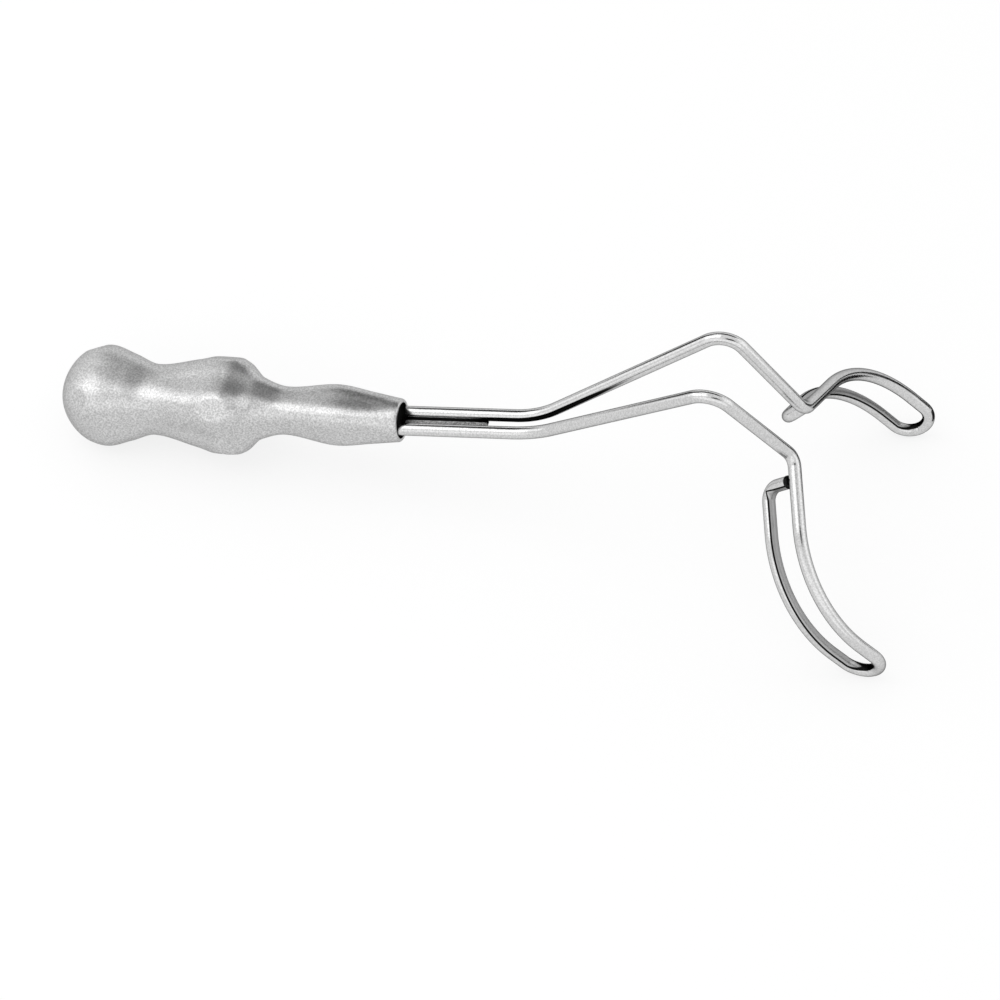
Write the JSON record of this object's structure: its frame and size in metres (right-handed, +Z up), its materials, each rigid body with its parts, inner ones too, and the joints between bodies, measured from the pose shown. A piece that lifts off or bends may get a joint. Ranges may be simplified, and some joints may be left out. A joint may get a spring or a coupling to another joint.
{
  "type": "handheld surgical retractor",
  "caption": "Handheld surgical retractor: a lobed satin steel grip with mirrored arms of bent round rod that end in long curved open loops.",
  "frame": {"origin": "on the floor, below the middle of the instrument's box as it lies on a table", "axes": "+X from the grip's ball end towards the loops, +Y to the left of someone who holds the grip, +Z up"},
  "size_m": [0.2724, 0.0994, 0.0782],
  "materials": {
    "satin_steel": "satin, fine bead blasted",
    "polished_steel": "bright polished",
    "satin_bar": "dull ground",
    "braze": "dark, as brazed"
  },
  "bodies": {
    "root": {"handle": "satin_steel", "arm_left": "polished_steel", "arm_right": "polished_steel", "loop_braze_left": "braze", "loop_braze_right": "braze", "spacer_bar": "satin_bar"}
  },
  "joints": []
}
